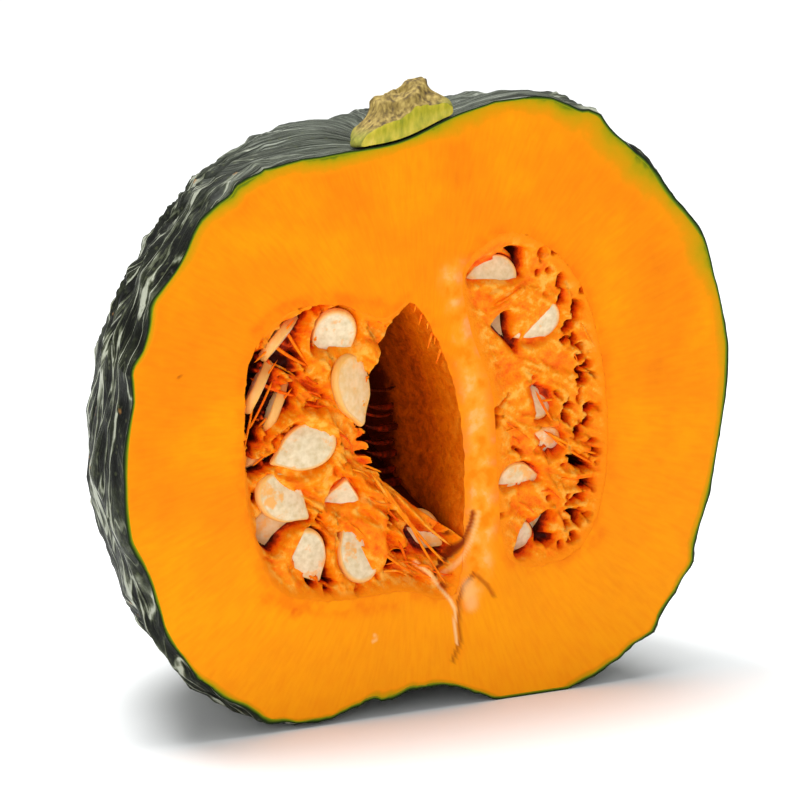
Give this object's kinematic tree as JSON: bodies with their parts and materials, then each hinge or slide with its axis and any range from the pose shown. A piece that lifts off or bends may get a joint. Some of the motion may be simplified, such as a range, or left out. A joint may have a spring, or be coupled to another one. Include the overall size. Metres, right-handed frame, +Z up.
{
  "type": "kabocha squash half",
  "caption": "Half of a ribbed green kabocha squash, cut lengthwise through orange flesh and seed hollow, standing on its blossom end.",
  "frame": {"origin": "middle of the bounding box's base, on the surface that the squash stands on", "axes": "+Z up along the fruit from blossom end to stem, -Y out of the cut face, +X to the right seen from the cut face"},
  "size_m": [0.1693, 0.0957, 0.1552],
  "materials": {
    "rind": "satin",
    "flesh": "moist satin",
    "pulp": "moist, stringy",
    "seed": "satin",
    "stem": "dry, corky"
  },
  "bodies": {
    "root": {"rind": "rind", "flesh": "flesh", "pulp_left": "pulp", "pulp_right": "pulp", "seed_left_01": "seed", "seed_left_02": "seed", "seed_left_03": "seed", "seed_left_04": "seed", "seed_left_05": "seed", "seed_left_06": "seed", "seed_left_07": "seed", "seed_left_08": "seed", "seed_left_09": "seed", "seed_left_10": "seed", "seed_left_11": "seed", "seed_left_12": "seed", "seed_left_13": "seed", "seed_right_01": "seed", "seed_right_02": "seed", "seed_right_03": "seed", "seed_right_04": "seed", "seed_right_05": "seed", "seed_right_06": "seed", "seed_right_07": "seed", "seed_right_08": "seed", "seed_right_09": "seed", "stem": "stem"}
  },
  "joints": []
}
